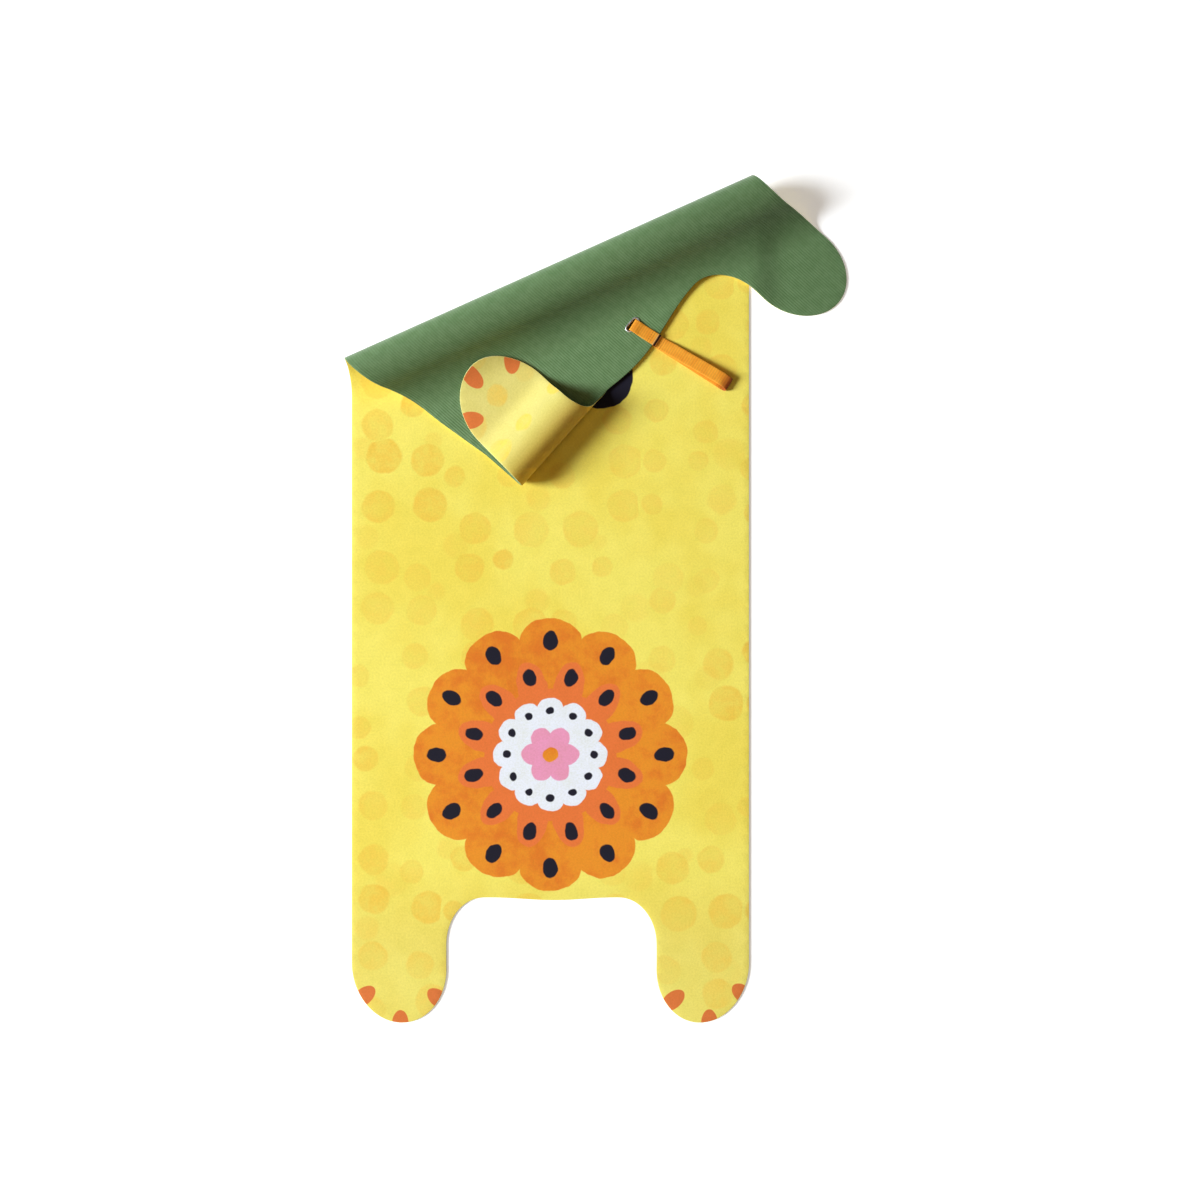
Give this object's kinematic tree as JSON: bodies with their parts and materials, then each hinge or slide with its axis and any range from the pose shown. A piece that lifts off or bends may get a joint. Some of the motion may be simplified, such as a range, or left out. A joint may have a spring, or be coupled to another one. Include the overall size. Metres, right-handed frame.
{
  "type": "children's play mat",
  "caption": "Thin soft play mat with paw-shaped corners, lying folded once across itself with one paw rolled back and an elastic carrying loop through an eyelet.",
  "frame": {"origin": "on the floor, under the middle of the folded mat's bounding box", "axes": "+X to the right and +Y up in the picture, which looks straight down; +Z up from the floor"},
  "size_m": [0.751, 1.2645, 0.0584],
  "materials": {
    "sheet": "soft microfibre face over a satin rubber back",
    "rim": "polished",
    "webbing": "ribbed elastic weave"
  },
  "bodies": {
    "root": {"mat": "sheet", "eyelet": "rim", "strap": "webbing"}
  },
  "joints": []
}
